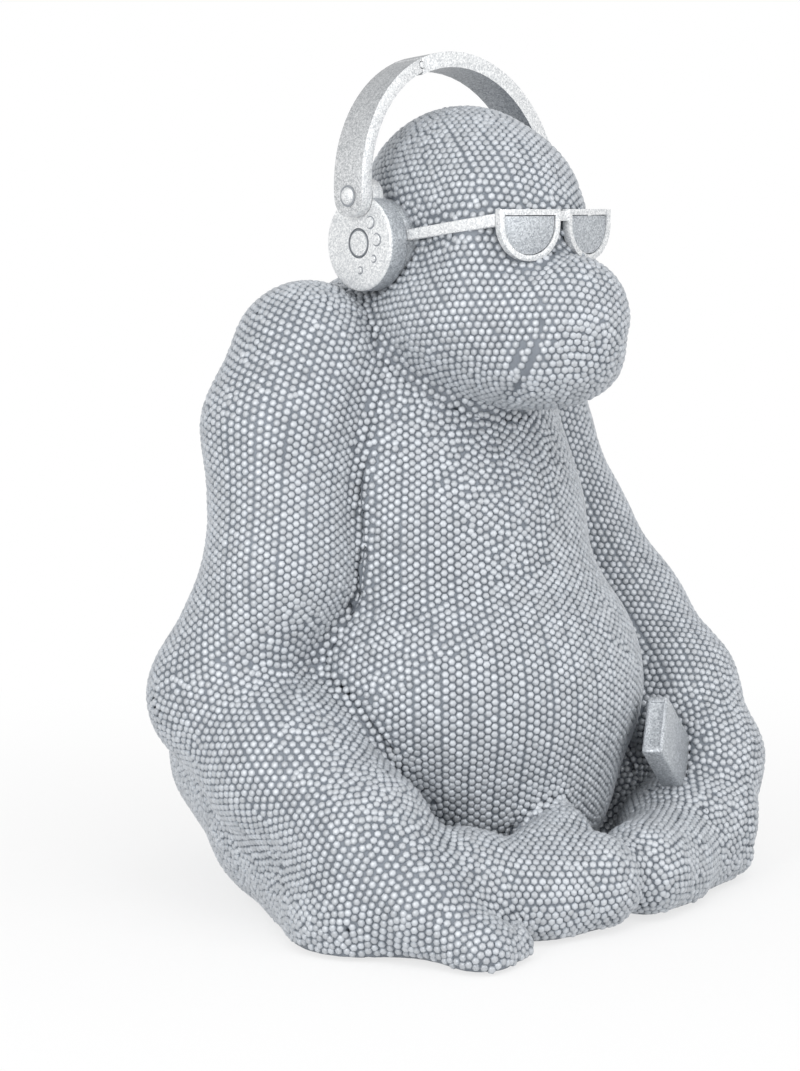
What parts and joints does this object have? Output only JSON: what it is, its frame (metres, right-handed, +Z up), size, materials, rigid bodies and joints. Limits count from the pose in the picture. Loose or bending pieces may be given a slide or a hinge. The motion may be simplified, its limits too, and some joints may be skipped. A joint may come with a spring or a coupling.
{
  "type": "gorilla figurine",
  "caption": "Seated gorilla ornament of studded silver resin, wearing headphones and half-round glasses, one hand on the floor and a phone in the other; stands on a shelf.",
  "frame": {"origin": "centre of the figurine's box, at the bottom of the felt pads", "axes": "+Z up, the gorilla faces -Y, +X to its own left"},
  "size_m": [0.2575, 0.2403, 0.35],
  "materials": {
    "studs": "cast resin with a stud texture, bright silver paint, darker in the recesses",
    "smooth": "smooth cast resin, light silver paint with fine glitter",
    "plug": "dull moulded plastic",
    "felt": "pressed dark felt"
  },
  "bodies": {
    "root": {"torso": "studs", "base_plug": "plug", "head": "studs", "right_arm": "studs", "left_arm": "studs", "right_leg": "studs", "left_leg": "studs", "right_ear_cushion": "smooth", "right_ear_cup": "smooth", "right_headband": "smooth", "right_band_pin": "smooth", "right_lens": "smooth", "right_temple": "smooth", "left_ear_cushion": "smooth", "left_ear_cup": "smooth", "left_headband": "smooth", "left_band_pin": "smooth", "left_lens": "smooth", "left_temple": "smooth", "headband_hinge_pin": "smooth", "glasses_front": "smooth", "phone": "smooth", "felt_pad_front_right": "felt", "felt_pad_front_left": "felt", "felt_pad_rear_right": "felt", "felt_pad_rear_left": "felt"}
  },
  "joints": []
}
